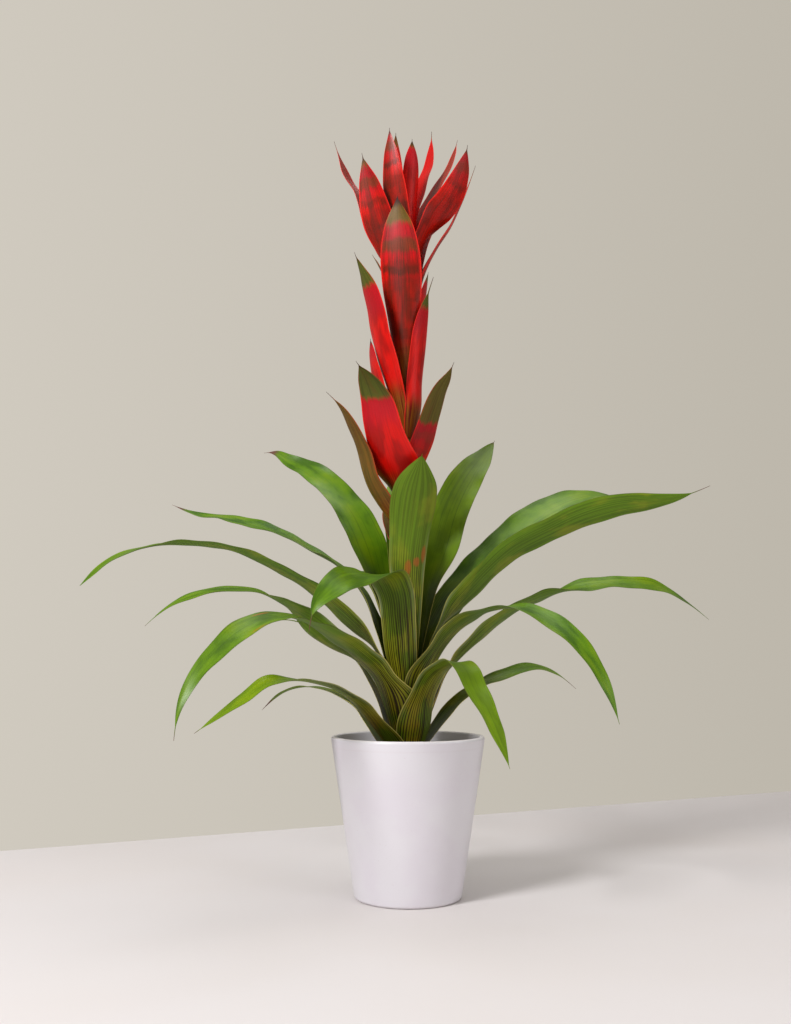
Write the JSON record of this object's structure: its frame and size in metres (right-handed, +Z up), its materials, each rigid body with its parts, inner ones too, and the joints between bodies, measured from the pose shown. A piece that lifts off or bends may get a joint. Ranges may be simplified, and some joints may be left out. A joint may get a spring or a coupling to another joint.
{
  "type": "potted bromeliad",
  "caption": "Bromeliad houseplant in a white tapered ceramic cover pot: arching strap leaves around an upright stalk of overlapping red bracts.",
  "frame": {"origin": "on the pot's axis at the underside of its foot", "axes": "+Z up along the pot's axis, -Y towards the viewer of the plant's front, +X to that viewer's right"},
  "size_m": [0.588, 0.436, 0.712],
  "materials": {
    "white_glaze": "smooth satin white glaze, faint lilac tint",
    "nursery_plastic": "thin black moulded plastic",
    "peat_and_bark": "damp peat with bark crumbs",
    "stem_green": "matt pale green",
    "leaf_green": "smooth waxy leaf",
    "bract_red": "smooth waxy bract"
  },
  "bodies": {
    "root": {"cover_pot": "white_glaze", "grow_pot": "nursery_plastic", "potting_mix": "peat_and_bark", "stem": "stem_green", "leaf_01": "leaf_green", "leaf_02": "leaf_green", "leaf_03": "leaf_green", "leaf_04": "leaf_green", "leaf_05": "leaf_green", "leaf_06": "leaf_green", "leaf_07": "leaf_green", "leaf_08": "leaf_green", "leaf_09": "leaf_green", "leaf_10": "leaf_green", "leaf_11": "leaf_green", "leaf_12": "leaf_green", "leaf_13": "leaf_green", "leaf_14": "leaf_green", "leaf_15": "leaf_green", "leaf_16": "leaf_green", "leaf_17": "leaf_green", "leaf_18": "leaf_green", "leaf_19": "leaf_green", "leaf_20": "leaf_green", "leaf_21": "leaf_green", "leaf_22": "leaf_green", "bract_01": "bract_red", "bract_02": "bract_red", "bract_03": "bract_red", "bract_04": "bract_red", "bract_05": "bract_red", "bract_06": "bract_red", "bract_07": "bract_red", "bract_08": "bract_red", "bract_09": "bract_red", "bract_10": "bract_red", "bract_11": "bract_red", "bract_12": "bract_red", "bract_13": "bract_red", "bract_14": "bract_red", "bract_15": "bract_red", "bract_16": "bract_red", "bract_17": "bract_red", "bract_18": "bract_red", "bract_19": "bract_red", "bract_20": "bract_red", "bract_21": "bract_red", "bract_22": "bract_red", "bract_23": "bract_red", "bract_24": "bract_red"}
  },
  "joints": []
}
